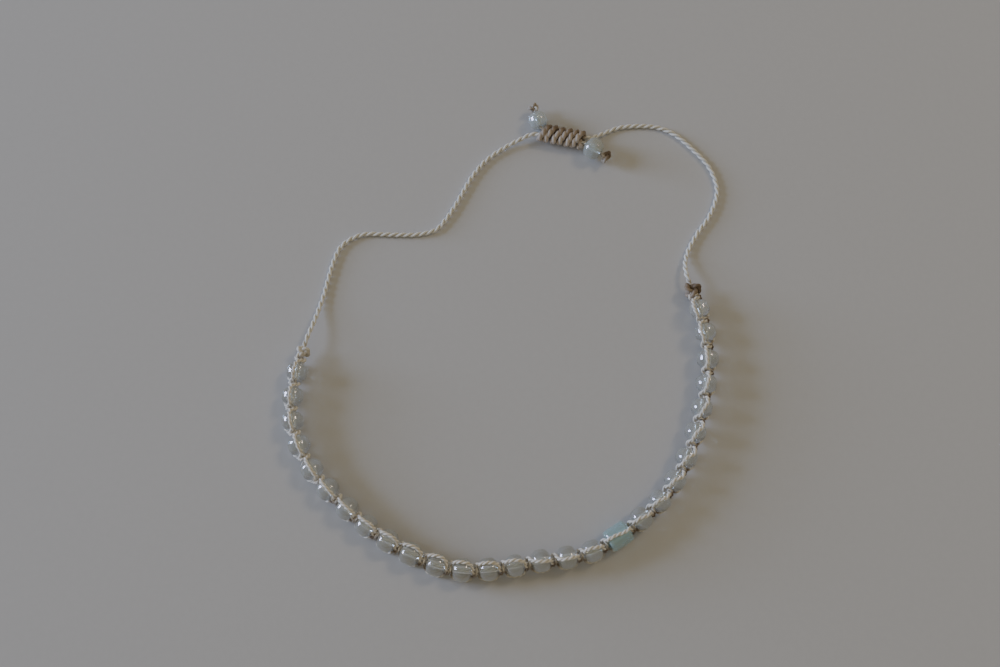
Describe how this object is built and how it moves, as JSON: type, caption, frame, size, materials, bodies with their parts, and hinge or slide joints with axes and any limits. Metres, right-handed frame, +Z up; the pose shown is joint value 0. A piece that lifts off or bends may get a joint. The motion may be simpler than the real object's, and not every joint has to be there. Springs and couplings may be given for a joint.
{
  "type": "beaded bracelet",
  "caption": "Loop of drilled glass beads held by a knotted cord and closed by bare cords that pass through a sliding knot, with a bead and a stopper knot on each free end.",
  "frame": {"origin": "on the surface that the bracelet lies on, below the middle of the box round its beads and knots", "axes": "+Z up from the surface, +Y from the bead string towards the sliding knot, +X to the right in the picture"},
  "size_m": [0.0799, 0.0894, 0.005],
  "materials": {
    "clear_glass": "clear grey-aqua glass, polished",
    "blue_green_glass": "blue-green glass, polished",
    "cream_cord": "twisted cream cord",
    "knot_cord": "cream cord stained brown, knotted tight"
  },
  "bodies": {
    "root": {"bead_01": "clear_glass", "bead_02": "clear_glass", "bead_03": "clear_glass", "bead_04": "clear_glass", "bead_05": "clear_glass", "bead_06": "clear_glass", "bead_07": "clear_glass", "bead_08": "clear_glass", "bead_09": "clear_glass", "bead_10": "clear_glass", "bead_11": "clear_glass", "bead_12": "clear_glass", "bead_13": "clear_glass", "bead_14": "clear_glass", "bead_15": "clear_glass", "bead_16": "clear_glass", "bead_17": "clear_glass", "bead_18": "blue_green_glass", "bead_19": "clear_glass", "bead_20": "clear_glass", "bead_21": "clear_glass", "bead_22": "clear_glass", "bead_23": "clear_glass", "bead_24": "clear_glass", "bead_25": "clear_glass", "bead_26": "clear_glass", "bead_27": "clear_glass", "bead_28": "clear_glass", "tail_bead_left": "clear_glass", "tail_bead_right": "clear_glass", "knotted_cord": "cream_cord", "left_cord": "cream_cord", "right_cord": "cream_cord", "end_knot_left": "knot_cord", "end_knot_right": "knot_cord", "sliding_knot": "knot_cord", "tail_knot_left": "knot_cord", "tail_knot_right": "knot_cord"}
  },
  "joints": []
}
